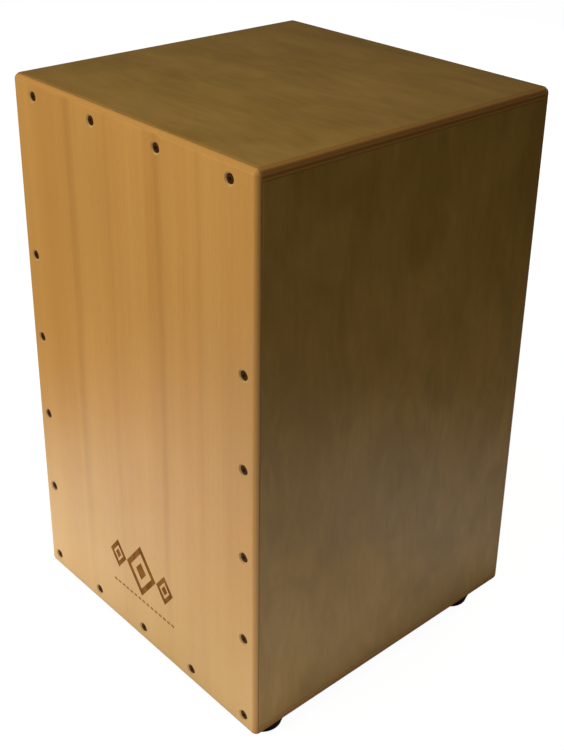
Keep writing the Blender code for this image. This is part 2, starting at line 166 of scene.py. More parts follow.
# Burnt motif low on the tapa: diamonds as (x, half width, half height, stroke), over a dashed rule
MARK_Z = 0.084
MARK_DEPTH = 0.00018
DIAMONDS = (
    (0.0, 0.0208, 0.0260, 0.0062), (-0.0332, 0.0116, 0.0147, 0.0048), (0.0332, 0.0116, 0.0147, 0.0048))
DIAMOND_CENTRE = 0.34
RULE_LEFT = -0.041
RULE_Z = MARK_Z - 0.0320
DASHES = 15
DASH_PITCH = 0.0059
DASH_LENGTH = 0.0038
DASH_HEIGHT = 0.0023

# Colours of the woods, linear.  An edge's are (long grain, end grain)
BEECH_PINK = (0.582, 0.278, 0.064)
BEECH_YELLOW = (0.630, 0.318, 0.078)
# Painted light: the washed-out colour the tapa's veneer is paled to near its foot, as if lit harder there
BEECH_PAINTED_LIGHT = (0.64, 0.44, 0.165)
BEECH_STREAK = (0.32, 0.130, 0.026)
BEECH_FLECK = (0.30, 0.125, 0.030)
BEECH_EDGE = ((0.60, 0.29, 0.065), (0.46, 0.21, 0.045))
BIRCH_DARK = (0.375, 0.204, 0.036)
BIRCH_LIGHT = (0.460, 0.256, 0.051)
BIRCH_FLECK = (0.20, 0.09, 0.02)
BIRCH_EDGE = ((0.50, 0.23, 0.045), (0.37, 0.155, 0.027))
GLUE_LINE = (0.14, 0.065, 0.018)
INNER_FACE = (0.50, 0.30, 0.10)
COUNTERSINK = (0.64, 0.38, 0.13)
BURNT_DARK = (0.170, 0.062, 0.009)
BURNT_LIGHT = (0.265, 0.105, 0.018)
BURNT_RULE = (0.42, 0.21, 0.050)
BATTEN_DARK = (0.44, 0.25, 0.10)
BATTEN_LIGHT = (0.62, 0.41, 0.20)
BALL_DARK = (0.42, 0.24, 0.09)
BALL_LIGHT = (0.55, 0.34, 0.14)

# Streaks down the tapa as (x, half width, strength)
STREAKS = ((-0.0725, 0.009, 0.34), (0.0415, 0.008, 0.30), (-0.022, 0.005, 0.12), (0.088, 0.006, 0.12))

# Studio: soft pools of light on the floor as (x, y, bright radius, dark radius, strength).  The floor is
# dark under the drum and fully lit from a little way out, which comes sooner in front of the tapa
AMBIENT = 0.13
AMBIENT_REFLECTED = 0.05
FLOOR_POOLS = (
    (-0.20, -0.27, 0.05, 0.30, 0.83), (0.0, -0.40, 0.20, 0.60, 0.46), (0.33, 0.05, 0.08, 0.30, 0.54),
    (0.45, -0.35, 0.15, 0.45, 0.55), (-0.40, 0.35, 0.10, 0.50, 0.45), (0.10, 0.55, 0.10, 0.35, 0.35),
    (0.14, -0.26, 0.04, 0.20, 0.42), (0.28, 0.25, 0.05, 0.20, 0.38))
FLOOR_REACH = 12.0
FLOOR_DROP = 0.0001
FLOOR_WHITE = 0.96
FLOOR_MATTE = (0.2, 0.2, 0.2)
UNLIT_FLOOR = (-0.006, 0.035)
UNLIT_FRONT_RATE = 2.5
LIGHT_TARGET = Vector((0, 0, 0.24))

# Camera: azimuth, elevation and roll in degrees, lens in mm for a frame 36 mm high
CAMERA_ANGLES = (47.84, 24.97, 0.84)
CAMERA_PLACE = (0.6842, -0.6135, 0.7405)
CAMERA_LENS = 57.39
CAMERA_SHIFT = -0.1267
FRAME_HEIGHT = 36

# Corners of the whole box, and of sheets that reach past it until they are trimmed
form_low = Vector((-side_high.x, tapa_low.y, bottom_low.z))
form_high = Vector((side_high.x, back_high.y, top_high.z))
far_low = form_low - Vector((OVERCUT,) * 3)
far_high = form_high + Vector((OVERCUT,) * 3)


# ---------------------------------------------------------------- materials

class Shader:
    """Builds one material's node tree, a node at a time."""

    def __init__(self, name):
        self.material = bpy.data.materials.new(name)
        self.material.use_nodes = True
        self.tree = self.material.node_tree
        self.bsdf = self.tree.nodes["Principled BSDF"]
        self.place = self.node("ShaderNodeTexCoord").outputs["Object"]

    def node(self, kind, **settings):
        """Add a node and set its properties."""
        node = self.tree.nodes.new(kind)
        for key, value in settings.items():
            setattr(node, key, value)
        return node

    def feed(self, socket, value):
        """Link a socket to another, or set its value."""
        if isinstance(value, bpy.types.NodeSocket):
            self.tree.links.new(value, socket)
        elif isinstance(value, tuple) and len(value) == 3 and socket.type == "RGBA":
            socket.default_value = (*value, 1.0)
        else:
            socket.default_value = value

    def math(self, operation, first, second=0.0, third=0.0):
        """Return a Math node's value."""
        node = self.node("ShaderNodeMath", operation=operation)
        for socket, value in zip(node.inputs, (first, second, third)):
            self.feed(socket, value)
        return node.outputs[0]

    def scaled(self, scale):
        """Return the object's coordinates, each multiplied by its own scale."""
        node = self.node("ShaderNodeVectorMath", operation="MULTIPLY")
        self.feed(node.inputs[0], self.place)
        self.feed(node.inputs[1], scale)
        return node.outputs[0]

    def axis(self, index):
        """Return one object coordinate."""
        node = self.node("ShaderNodeSeparateXYZ")
        self.feed(node.inputs[0], self.place)
        return node.outputs[index]

    def noise(self, scale, detail=3.0, rough=0.5, warp=0.0, seed=0.0):
        """Return noise from 0 to 1.  scale is cycles a metre, as one number or as one for each axis."""
        node = self.node("ShaderNodeTexNoise", noise_dimensions="4D")
        self.feed(node.inputs["Vector"], self.scaled(scale if isinstance(scale, tuple) else (scale,) * 3))
        self.feed(node.inputs["W"], seed)
        self.feed(node.inputs["Scale"], 1.0)
        self.feed(node.inputs["Detail"], detail)
        self.feed(node.inputs["Roughness"], rough)
        self.feed(node.inputs["Distortion"], warp)
        return node.outputs["Fac"]

    def span(self, value, low, high, to_low=0.0, to_high=1.0):
        """Map a value from one range to another, smoothly and held at the ends."""
        node = self.node("ShaderNodeMapRange", interpolation_type="SMOOTHSTEP")
        for socket, item in zip(node.inputs, (value, low, high, to_low, to_high)):
            self.feed(socket, item)
        return node.outputs[0]

    def mix(self, factor, first, second):
        """Mix two colours."""
        node = self.node("ShaderNodeMix", data_type="RGBA")
        self.feed(node.inputs[0], factor)
        self.feed(node.inputs[6], first)
        self.feed(node.inputs[7], second)
        return node.outputs[2]

    def shade(self, colour, amount, depth):
        """Darken and lighten a colour by a 0 to 1 pattern, by up to depth each way."""
        factor = self.math("MULTIPLY_ADD", self.math("SUBTRACT", amount, 0.5), 2.0 * depth, 1.0)
        node = self.node("ShaderNodeVectorMath", operation="SCALE")
        self.feed(node.inputs[0], colour)
        self.feed(node.inputs["Scale"], factor)
        return node.outputs[0]

    def bump(self, height, distance, strength):
        """Give the surface a relief of so many metres."""
        node = self.node("ShaderNodeBump")
        self.feed(node.inputs["Height"], height)
        self.feed(node.inputs["Distance"], distance)
        self.feed(node.inputs["Strength"], strength)
        self.feed(self.bsdf.inputs["Normal"], node.outputs[0])

    def finish(self, colour, roughness, **sockets):
        """Set the surface and return the material."""
        self.feed(self.bsdf.inputs["Base Color"], colour)
        self.feed(self.bsdf.inputs["Roughness"], roughness)
        for key, value in sockets.items():
            self.feed(self.bsdf.inputs[key.replace("_", " ").title().replace("Ior", "IOR")], value)
        return self.material


def grain_scale(across, along, grain):
    """Cycles a metre along x, y and z, for grain that runs along one of them."""
    return tuple(along if index == grain else across for index in range(3))


def beech_figure(shader, grain):
    """Colour of the tapa's veneer: calm straight-grained beech with dark streaks, and painted light that pales it
    towards the foot.
    """
    broad = shader.noise(grain_scale(26, 0.6, grain), detail=2, warp=0.25, seed=3.1)
    medium = shader.noise(grain_scale(120, 1.8, grain), rough=0.55, warp=0.3, seed=8.0)
    fine = shader.noise(grain_scale(800, 10, grain), detail=2, rough=0.6, seed=1.7)
    fleck = shader.noise(grain_scale(1100, 130, grain), detail=1, seed=5.2)
    cloud = shader.noise(grain_scale(12, 7, grain), seed=9.4)
    drift = shader.noise(grain_scale(3, 5, grain), detail=2)
    height = shader.axis(Z)

    colour = shader.mix(shader.span(broad, 0.32, 0.68), BEECH_PINK, BEECH_YELLOW)
    colour = shader.shade(colour, medium, 0.07)
    colour = shader.shade(colour, fine, 0.07)
    colour = shader.shade(colour, cloud, 0.09)
    # Painted light: the veneer is paled towards the foot, as if washed out by the brighter light low down
    colour = shader.mix(shader.span(height, 0.24, 0.02, 0.0, 0.38), colour, BEECH_PAINTED_LIGHT)

    wander = shader.math("MULTIPLY", shader.math("SUBTRACT", drift, 0.5), 0.012)
    across = shader.math("ADD", shader.axis(X), wander)
    broken = shader.span(medium, 0.2, 0.7, 0.4, 1.0)
    fade = shader.span(height, 0.02, 0.22, 0.35, 1.0)
    for x, half_width, strength in STREAKS:
        distance = shader.math("ABSOLUTE", shader.math("SUBTRACT", across, x))
        streak = shader.math("MULTIPLY", shader.span(distance, half_width, 0.0), broken)
        streak = shader.math("MULTIPLY", streak, fade)
        colour = shader.mix(shader.math("MULTIPLY", streak, strength), colour, BEECH_STREAK)
    colour = shader.mix(shader.span(fleck, 0.62, 0.74, 0.0, 0.16), colour, BEECH_FLECK)
    return colour, fine


def birch_figure(shader, grain):
    """Colour of rotary-cut birch: cloudy, with wavy lines along the grain and a few small flecks."""
    cloud = shader.noise(grain_scale(16, 9, grain), rough=0.55, warp=1.0, seed=2.2)
    wave = shader.noise(grain_scale(55, 15, grain), rough=0.55, warp=2.2, seed=6.3)
    fine = shader.noise(grain_scale(900, 22, grain), detail=2, rough=0.6, seed=4.1)
    fleck = shader.noise(grain_scale(420, 60, grain), detail=1, seed=7.7)
    colour = shader.mix(shader.span(cloud, 0.30, 0.70), BIRCH_DARK, BIRCH_LIGHT)
    colour = shader.shade(colour, wave, 0.22)
    colour = shader.shade(colour, fine, 0.06)
    colour = shader.mix(shader.span(fleck, 0.66, 0.80, 0.0, 0.20), colour, BIRCH_FLECK)
    return colour, fine


def ply_material(name, figure, axis, outer, inner, core, grain, edge_colours, glue=0.5, specular=0.28,
                 lacquer=0.10):
    """A lacquered sheet whose plies show wherever its face is cut away, bare on the inside of the box.

    axis is the sheet's normal, outer and inner are the coordinates of its faces, core is the number of plies
    between its face veneers, and glue is how dark the lines between them are.
    """
    shader = Shader(name)
    veneer, fine = figure(shader, grain)
    ripple = shader.noise(220, detail=2)
    speckle = shader.noise(1500, detail=2, rough=0.6, seed=2.0)

    # How deep a point lies, and in which ply: below 0 in the outer veneer and above core in the inner one
    inward = math.copysign(1.0, inner - outer)
    depth = shader.math("MULTIPLY", shader.math("SUBTRACT", shader.axis(axis), outer), inward)
    depth = shader.math("MULTIPLY_ADD", shader.math("SUBTRACT", ripple, 0.5), PLY_WAVER, depth)
    pitch = (abs(inner - outer) - 2 * FACE_VENEER) / core
    layer = shader.math("DIVIDE", shader.math("SUBTRACT", depth, FACE_VENEER), pitch)

    long_grain, end_grain = (shader.shade(colour, speckle, 0.16) for colour in edge_colours)
    core_layer = shader.math("MAXIMUM", layer, 0.0)
    odd = shader.math("GREATER_THAN", shader.math("FLOORED_MODULO", core_layer, 2.0), 1.0)
    edge = shader.mix(odd, long_grain, end_grain)
    joint = shader.math("ABSOLUTE", shader.math("SUBTRACT", shader.math("FRACT", layer), 0.5))
    edge = shader.mix(shader.span(joint, 0.40, 0.5, 0.0, glue), edge, GLUE_LINE)
    inside = shader.shade(shader.shade(INNER_FACE, fine, 0.10), ripple, 0.08)
    colour = shader.mix(shader.math("GREATER_THAN", layer, -PLY_MARGIN), veneer, edge)
    colour = shader.mix(shader.math("GREATER_THAN", layer, core + PLY_MARGIN), colour, inside)
    shader.bump(fine, 0.00012, 0.35)
    roughness = shader.span(shader.noise(40, detail=2), 0.3, 0.7, 0.34, 0.42)
    return shader.finish(colour, roughness, specular_ior_level=specular, coat_weight=lacquer,
                         coat_roughness=0.25)


def corpus_ply(name, axis, outer, inner, grain):
    """Birch ply for one panel of the corpus."""
    return ply_material(name, birch_figure, axis, outer, inner, CORPUS_CORE, grain, BIRCH_EDGE)


def plain_wood_material(name, grain, dark, light):
    """Plain sanded solid wood with straight growth lines."""
    shader = Shader(name)
    rings = shader.noise(grain_scale(230, 3.5, grain), rough=0.55, warp=0.6, seed=1.2)
    fine = shader.noise(grain_scale(1200, 25, grain), detail=2, rough=0.6, seed=3.3)
    cloud = shader.noise(20, detail=2, seed=5.0)
    colour = shader.mix(shader.span(rings, 0.35, 0.66), light, dark)
    colour = shader.shade(colour, cloud, 0.10)
    colour = shader.shade(colour, fine, 0.10)
    shader.bump(fine, 0.0002, 0.4)
    return shader.finish(colour, shader.span(fine, 0.2, 0.8, 0.55, 0.72))


def raw_edge_material():
    """Bare wood in the screw countersinks, paler than the lacquered face."""
    shader = Shader("countersink_wood")
    speckle = shader.noise(1400, detail=2, rough=0.6)
    return shader.finish(shader.shade(COUNTERSINK, speckle, 0.12), 0.6)


def burnt_material():
    """Wood browned by a branding iron, less so in the dashed rule."""
    shader = Shader("burnt_wood")
    fibre = shader.noise(grain_scale(900, 60, Z), rough=0.6)
    blotch = shader.noise(grain_scale(120, 90, Z), detail=2, seed=4.0)
    colour = shader.mix(shader.span(blotch, 0.35, 0.65), BURNT_DARK, BURNT_LIGHT)
    rule_top = RULE_Z + DASH_HEIGHT
    rule = shader.span(shader.axis(Z), rule_top, rule_top + 0.001, 0.60, 0.0)
    colour = shader.mix(rule, colour, BURNT_RULE)
    colour = shader.shade(colour, fibre, 0.22)
    shader.bump(fibre, 0.0002, 0.5)
    return shader.finish(colour, 0.70, specular_ior_level=0.06)


def metal_material(name, colour, rough_low, rough_high, scratch):
    """Metal with fine scratches: scratch is how many a metre."""
    shader = Shader(name)
    lines = shader.noise(grain_scale(scratch, scratch * 0.15, Y), rough=0.6)
    smudge = shader.noise(120, detail=2, seed=6.0)
    roughness = shader.span(lines, 0.3, 0.7, rough_low, rough_high)
    shader.bump(lines, 0.00003, 0.4)
    return shader.finish(shader.shade(colour, smudge, 0.12), roughness, metallic=1.0)


def black_steel_material():
    """Screws with a matt, faintly brown black finish, worn in places."""
    shader = Shader("black_steel")
    wear = shader.noise(1300, rough=0.6)
    colour = shader.mix(shader.span(wear, 0.40, 0.75), (0.044, 0.017, 0.004), (0.080, 0.037, 0.012))
    shader.bump(wear, 0.00003, 0.4)
    return shader.finish(colour, shader.span(wear, 0.3, 0.7, 0.60, 0.45), specular_ior_level=0.05)


def rubber_material():
    """Moulded black rubber, faintly pitted and dusty."""
    shader = Shader("black_rubber")
    pits = shader.noise(1800, rough=0.6)
    dust = shader.span(shader.noise(90, rough=0.6, seed=2.0), 0.45, 0.75, 0.0, 0.35)
    colour = shader.mix(dust, (0.008, 0.008, 0.008), (0.030, 0.028, 0.026))
    shader.bump(pits, 0.0001, 0.5)
    return shader.finish(colour, shader.span(pits, 0.2, 0.8, 0.62, 0.82))


def felt_material():
    """Pressed grey felt."""
    shader = Shader("grey_felt")
    fibres = shader.noise(1600, detail=4, rough=0.7, warp=1.5)
    shader.bump(fibres, 0.0004, 0.9)
    return shader.finish(shader.shade((0.12, 0.12, 0.12), fibres, 0.5), 0.95, sheen_weight=0.4)


# ---------------------------------------------------------------- shapes

def box_shape(low, high):
    """Return a bmesh box between two corners."""
    shape = bmesh.new()
    for vert in bmesh.ops.create_cube(shape, size=1.0)["verts"]:
        vert.co = Vector(high[i] if vert.co[i] > 0 else low[i] for i in range(3))
    return shape


def add_turned(shape, profile, steps, place):
    """Add a solid of revolution to a bmesh.

    profile lists (radius, height) round +Z, and is a closed ring where it starts off the axis.
    """
    rings = []
    for radius, height in profile:
        count = steps if radius > 0 else 1
        angles = [2 * math.pi * index / steps for index in range(count)]
        rings.append([shape.verts.new((radius * math.cos(a), radius * math.sin(a), height)) for a in angles])
    pairs = list(zip(rings, rings[1:]))
    if profile[0][0] > 0:
        pairs.append((rings[-1], rings[0]))
    for lower, upper in pairs:
        for index in range(steps):
            following = (index + 1) % steps
            quad = [lower[index % len(lower)], lower[following % len(lower)]]
            quad += [upper[following % len(upper)], upper[index % len(upper)]]
            shape.faces.new(dict.fromkeys(quad))
    bmesh.ops.transform(shape, matrix=place, verts=[vert for ring in rings for vert in ring])


def turned(profile, steps=ROUND_STEPS, place=Matrix()):
    """Return a bmesh solid of revolution."""
    shape = bmesh.new()
    add_turned(shape, profile, steps, place)
    return shape


def arc(centre, radius, start, end, steps):
    """Return points of an arc in a turned profile, angles in degrees."""
    angles = [math.radians(start + (end - start) * index / steps) for index in range(steps + 1)]
    return [(centre[0] + radius * math.cos(a), centre[1] + radius * math.sin(a)) for a in angles]


def dome(radius, height, steps=8):
    """Return the outline of a domed head, from its crown at height 0 to its rim."""
    angles = [math.pi / 2 * index / steps for index in range(steps + 1)]
    return [(radius * math.sin(a), height * (1 - math.cos(a))) for a in angles]


def ring(inner, outer, low, high, edge):
    """Return the closed outline of a flat ring with small chamfers."""
    return [(inner, low + edge), (inner + edge, low), (outer - edge, low), (outer, low + edge),
            (outer, high - edge), (outer - edge, high), (inner + edge, high), (inner, high - edge)]


def new_object(name, shape, material=None):
    """Turn a bmesh into an object with its faces pointing out."""
    bmesh.ops.recalc_face_normals(shape, faces=shape.faces)
    mesh = bpy.data.meshes.new(name)
    shape.to_mesh(mesh)
    shape.free()
    if material:
        mesh.materials.append(material)
    obj = bpy.data.objects.new(name, mesh)
    bpy.context.scene.collection.objects.link(obj)
    return obj


def combine(obj, operation, tool, transfer=False):
    """Add a Boolean.  With transfer, the faces it cuts take the tool's material."""
    modifier = obj.modifiers.new("cut", "BOOLEAN")
    modifier.operation = operation
    modifier.solver = "EXACT"
    modifier.object = tool
    modifier.material_mode = "TRANSFER" if transfer else "INDEX"


def freeze(obj, tools):
    """Apply an object's modifiers, then remove the tools they used."""
    depsgraph = bpy.context.evaluated_depsgraph_get()
    mesh = bpy.data.meshes.new_from_object(obj.evaluated_get(depsgraph))
    obj.modifiers.clear()
    obj.data = mesh
    for tool in tools:
        bpy.data.objects.remove(tool)


def smooth(obj):
    """Shade round faces smooth and keep flat ones flat."""
    obj.data.shade_smooth()
    obj.data.set_sharp_from_angle(angle=SMOOTH_ANGLE)
    modifier = obj.modifiers.new("normals", "WEIGHTED_NORMAL")
    modifier.keep_sharp = True
    modifier.weight = 100


def hand_over(obj, body, slot, *nodes):
    """Make a finished object a piece of the drum, in place of CAD nodes."""
    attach(obj, body)
    if nodes:
        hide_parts(*nodes)


def place_copy(name, mesh, place, material, body, slot, *nodes):
    """Put a copy of a mesh in place and hand it over."""
    copy = mesh.copy()
    copy.transform(place)
    copy.materials.clear()
    copy.materials.append(material)
    obj = bpy.data.objects.new(name, copy)
    bpy.context.scene.collection.objects.link(obj)
    smooth(obj)
    hand_over(obj, body, slot, *nodes)


def node_names(prefix):
    """Return the CAD nodes whose names start so, in order."""
    return sorted(name for name in frame["nodes"] if name.startswith(prefix))


def node_centre(name):
    """Return the middle of a CAD node's box."""
    low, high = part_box(name)
    return (low + high) / 2


def paint(material, *names):
    """Give CAD nodes a material."""
    for name in names:
        for slot in frame["nodes"][name].material_slots:
            slot.material = material


# ---------------------------------------------------------------- the box

def make_panel(name, low, high, material, tools=()):
    """Make a finished panel: a sheet trimmed to the rounded box, then cut by tools."""
    panel = new_object(f"{name}_finished", box_shape(low, high), material)
    form = new_object("form", box_shape(form_low, form_high), material)
    rounding = form.modifiers.new("rounding", "BEVEL")
    rounding.width = EDGE_RADIUS
    rounding.segments = EDGE_STEPS
    combine(panel, "INTERSECT", form)
    for tool in tools:
        combine(panel, "DIFFERENCE", tool, transfer=True)
    freeze(panel, [form, *tools])
    smooth(panel)
    hand_over(panel, BODY, "tapa_veneer" if name == "tapa" else "birch_ply", name)


def screw_hole_shape():
    """Return the cutters for the tapa's countersunk screw holes."""
    outline = [(0, -OVERCUT), (HOLE_MOUTH + OVERCUT, -OVERCUT), (HOLE_RADIUS, HOLE_MOUTH - HOLE_RADIUS),
               (HOLE_RADIUS, HOLE_DEPTH), (0, HOLE_DEPTH)]
    shape = bmesh.new()
    for name in node_names("tapa_screw"):
        centre = node_centre(name)
        place = Matrix.Translation((centre.x, tapa_low.y, centre.z)) @ TO_REAR
        add_turned(shape, outline, ROUND_STEPS, place)
    return shape


def add_prism(shape, outline, hole=()):
    """Add a prism that cuts MARK_DEPTH into the tapa.

    outline lists the (x, z) of its corners, and hole those of as many corners again.
    """
    rims = []
    for points in (outline, hole):
        for y in (tapa_low.y - OVERCUT, tapa_low.y + MARK_DEPTH):
            rims.append([shape.verts.new((x, y, z)) for x, z in points])
    outer_front, outer_back, inner_front, inner_back = rims
    walls = [(outer_front, outer_back)]
    if hole:
        walls += [(inner_back, inner_front), (inner_front, outer_front), (outer_back, inner_back)]
    else:
        shape.faces.new(outer_front)
        shape.faces.new(outer_back)
    for near, far in walls:
        for index in range(len(near)):
            following = (index + 1) % len(near)
            shape.faces.new((near[index], near[following], far[following], far[index]))


def diamond(x, half_width, half_height):
    """Return the corners of an upright diamond at the height of the mark."""
    return [(x + half_width, MARK_Z), (x, MARK_Z + half_height),
            (x - half_width, MARK_Z), (x, MARK_Z - half_height)]


def mark_shape():
    """Return the cutters for the plain burnt motif: a large diamond between two small ones, over a rule."""
    shape = bmesh.new()
    for x, width, height, stroke in DIAMONDS:
        hole_width = width - stroke
        add_prism(shape, diamond(x, width, height), diamond(x, hole_width, hole_width * (height / width)))
        add_prism(shape, diamond(x, DIAMOND_CENTRE * width, DIAMOND_CENTRE * height))
    for index in range(DASHES):
        left = RULE_LEFT + index * DASH_PITCH
        right = left + DASH_LENGTH
        top = RULE_Z + DASH_HEIGHT
        add_prism(shape, [(left, RULE_Z), (right, RULE_Z), (right, top), (left, top)])
    return shape


def make_tapa():
    """Make the tapa, with its screw holes and the mark."""
    wood = ply_material("tapa_veneer", beech_figure, Y, tapa_low.y, tapa_high.y, TAPA_CORE, Z, BEECH_EDGE,
                        glue=0.1, specular=0.34, lacquer=0.12)
    tools = [new_object("holes", screw_hole_shape(), raw_edge_material()),
             new_object("mark", mark_shape(), burnt_material())]
    make_panel("tapa", far_low, (far_high.x, tapa_high.y, far_high.z), wood, tools)


def sound_hole_height():
    """Return the height of the middle of the record's sound hole."""
    openings = frame["record"]["physics"]["openings"]
    low, high = next(item["box_m"] for item in openings if item["name"] == "sound_hole")
    return (low[Z] + high[Z]) / 2


def make_back():
    """Make the back, with the outer rim of its sound hole rounded."""
    wood = ply_material("back_birch", birch_figure, Y, back_high.y, back_low.y, BACK_CORE, Z, BIRCH_EDGE)
    thickness = back_high.y - back_low.y
    rim = SOUND_HOLE_RADIUS + RIM_ROUNDING
    outline = [(0, -OVERCUT), (SOUND_HOLE_RADIUS, -OVERCUT), (SOUND_HOLE_RADIUS, thickness - RIM_ROUNDING)]
    outline += arc((rim, thickness - RIM_ROUNDING), RIM_ROUNDING, 180, 90, 8)
    outline += [(rim, thickness + OVERCUT), (0, thickness + OVERCUT)]
    place = Matrix.Translation((0, back_low.y, sound_hole_height())) @ TO_REAR
    hole = new_object("hole", turned(outline, steps=128, place=place), wood)
    make_panel("back_panel", (far_low.x, back_low.y, far_low.z), far_high, wood, [hole])


def make_corpus():
    """Make the top, the bottom and the two sides, all a seam clear of their neighbours."""
    left, right = far_low.x, far_high.x
    front, back = tapa_high.y + SEAM, back_low.y - SEAM
    floor, ceiling = bottom_high.z + SEAM, top_low.z - SEAM
    wood = corpus_ply("top_birch", Z, top_high.z, top_low.z, X)
    make_panel("top_panel", (left, front, top_low.z), (right, back, far_high.z), wood)
    wood = corpus_ply("bottom_birch", Z, bottom_low.z, bottom_high.z, X)
    make_panel("bottom_panel", (left, front, far_low.z), (right, back, bottom_high.z), wood)
    wood = corpus_ply("right_birch", X, side_high.x, side_low.x, Z)
    make_panel("side_panel_right", (side_low.x, front, floor), (right, back, ceiling), wood)
    wood = corpus_ply("left_birch", X, -side_high.x, -side_low.x, Z)
    make_panel("side_panel_left", (left, front, floor), (-side_low.x, back, ceiling), wood)


# ---------------------------------------------------------------- screws and feet

def cross_headed(profile, reach, depth):
    """Return the mesh of a turned screw with a cross recess in its head, which is at height 0."""
    screw = new_object("screw", turned(profile))
    arms = []
    for angle in (0, 90):
        arm = box_shape((-reach, -RECESS_HALF_WIDTH, -RECESS_OVERCUT), (reach, RECESS_HALF_WIDTH, depth))
        for vert in arm.verts:
            if vert.co.z > 0:
                vert.co.x *= RECESS_LENGTH_TAPER
                vert.co.y *= RECESS_WIDTH_TAPER
        bmesh.ops.rotate(arm, matrix=Matrix.Rotation(math.radians(angle), 3, "Z"), verts=arm.verts)
        arms.append(new_object("arm", arm))
        combine(screw, "DIFFERENCE", arms[-1])
    freeze(screw, arms)
    mesh = screw.data
    bpy.data.objects.remove(screw)
    return mesh


def countersunk(length):
    """Return the mesh of a countersunk screw, its flat head at height 0."""
    profile = [(0, 0), (SCREW_HEAD - SCREW_RIM, 0), (SCREW_HEAD, SCREW_RIM), (SCREW_HEAD, 2 * SCREW_RIM)]
    profile += [(SCREW_SHANK, SCREW_HEAD - SCREW_SHANK + 2 * SCREW_RIM), (SCREW_SHANK, length - SCREW_POINT)]
    return cross_headed(profile + [(0, length)], RECESS_REACH, RECESS_DEPTH)


def pan_headed(head, height, shank, length, reach):
    """Return the mesh of a pan-head screw, its crown at height 0."""
    profile = dome(head, PAN_DOME * height) + [(head, height), (shank, height), (shank, length - PAN_POINT)]
    return cross_headed(profile + [(0, length)], reach, PAN_RECESS * height)


def make_tapa_screws(black):
    """Make the tapa screws, each turned its own way."""
    mesh = countersunk(TAPA_SCREW_LENGTH)
    for number, name in enumerate(node_names("tapa_screw")):
        centre = node_centre(name)
        turn = Matrix.Rotation(TAPA_SCREW_TURN * number, 4, "Z")
        place = Matrix.Translation((centre.x, tapa_low.y + SCREW_SINK, centre.z)) @ TO_REAR @ turn
        place_copy(f"{name}_finished", mesh, place, black, BODY, "black_steel", name)


def foot_profile():
    """Return the closed outline of a foot, from its screw hole round under the hollow and up its side."""
    low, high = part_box("foot_front_left")
    radius = (high.x - low.x) / 2
    sole = radius - FOOT_TAPER
    top = high.z + FOOT_SQUEEZE
    return [
        (HOLE_RADIUS, FOOT_HOLLOW_HEIGHT),
        *arc((FOOT_HOLLOW_RADIUS - FOOT_CEILING_ROUND, FOOT_HOLLOW_HEIGHT - FOOT_CEILING_ROUND),
             FOOT_CEILING_ROUND, 90, 0, 4),
        *arc((FOOT_HOLLOW_RADIUS + FOOT_RIM_ROUND, FOOT_RIM_ROUND), FOOT_RIM_ROUND, 180, 270, 5),
        *arc((sole - FOOT_SOLE_ROUND, FOOT_SOLE_ROUND), FOOT_SOLE_ROUND, 270, 370, 6),
        *arc((radius - FOOT_RIM_ROUND, top - FOOT_RIM_ROUND), FOOT_RIM_ROUND, 0, 90, 5),
        (HOLE_RADIUS, top)]


def make_feet(rubber, zinc):
    """Make the rubber feet, hollow round a washer and a pan-head screw."""
    foot_outline = foot_profile()
    low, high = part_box("foot_washer_front_left")
    washer_outline = ring(HOLE_RADIUS, (high.x - low.x) / 2, low.z, high.z, WASHER_CHAMFER)
    screw_mesh = pan_headed(head=0.004, height=0.0025, shank=SCREW_SHANK, length=0.0146, reach=RECESS_REACH)
    for number, name in enumerate(node_names("foot_screw")):
        spot = name.removeprefix("foot_screw_")
        centre = node_centre(name)
        place = Matrix.Translation((centre.x, centre.y, 0))
        foot = new_object(f"foot_{spot}_finished", turned(foot_outline, steps=64, place=place), rubber)
        smooth(foot)
        hand_over(foot, BODY, "black_rubber", f"foot_{spot}")
        washer = new_object(f"foot_washer_{spot}_finished", turned(washer_outline, place=place), zinc)
        smooth(washer)
        hand_over(washer, BODY, "zinc_steel", f"foot_washer_{spot}")
        turn = Matrix.Rotation(FOOT_SCREW_TURN * number, 4, "Z")
        place = Matrix.Translation((centre.x, centre.y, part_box(name)[0].z)) @ turn
        place_copy(f"{name}_finished", screw_mesh, place, zinc, BODY, "zinc_steel", name)


def make_block_screws(zinc):
    """Make the countersunk screw through each bearing block."""
    mesh = countersunk(BLOCK_SCREW_LENGTH)
    for name, turn in (("block_screw_left", TO_LEFT), ("block_screw_right", TO_RIGHT)):
        low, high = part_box(name)
        head = high.x if turn is TO_LEFT else low.x
        place = Matrix.Translation((head, (low.y + high.y) / 2, (low.z + high.z) / 2)) @ turn
        place_copy(f"{name}_finished", mesh, place, zinc, BODY, "zinc_steel", name)


# ---------------------------------------------------------------- snares, about the bar's pivot

def coil_mesh(wires, start, end):
    """Return a mesh of close-wound wires standing along +Z: wires lists the (x, y) of their axes."""
    steps = round((end - start) / COIL_PITCH * COIL_STEPS)
    verts = []
    faces = []
    for x, y in wires:
        first = len(verts)
        for step in range(steps + 1):
            angle = 2 * math.pi * step / COIL_STEPS
            height = start + (end - start) * step / steps
            for side in range(WIRE_SIDES):
                around = 2 * math.pi * side / WIRE_SIDES
                reach = COIL_RADIUS - WIRE_RADIUS + WIRE_RADIUS * math.cos(around)
                verts.append((x + reach * math.cos(angle), y + reach * math.sin(angle),
                              height + WIRE_RADIUS * math.sin(around)))
        for step in range(steps):
            low = first + step * WIRE_SIDES
            high = low + WIRE_SIDES
            for side in range(WIRE_SIDES):
                following = (side + 1) % WIRE_SIDES
                faces.append((low + side, low + following, high + following, high + side))
        for end_ring in (first, first + steps * WIRE_SIDES):
            faces.append(tuple(end_ring + side for side in range(WIRE_SIDES)))
    mesh = bpy.data.meshes.new("coils")
    mesh.from_pydata(verts, [], faces)
    mesh.shade_smooth()
    return mesh


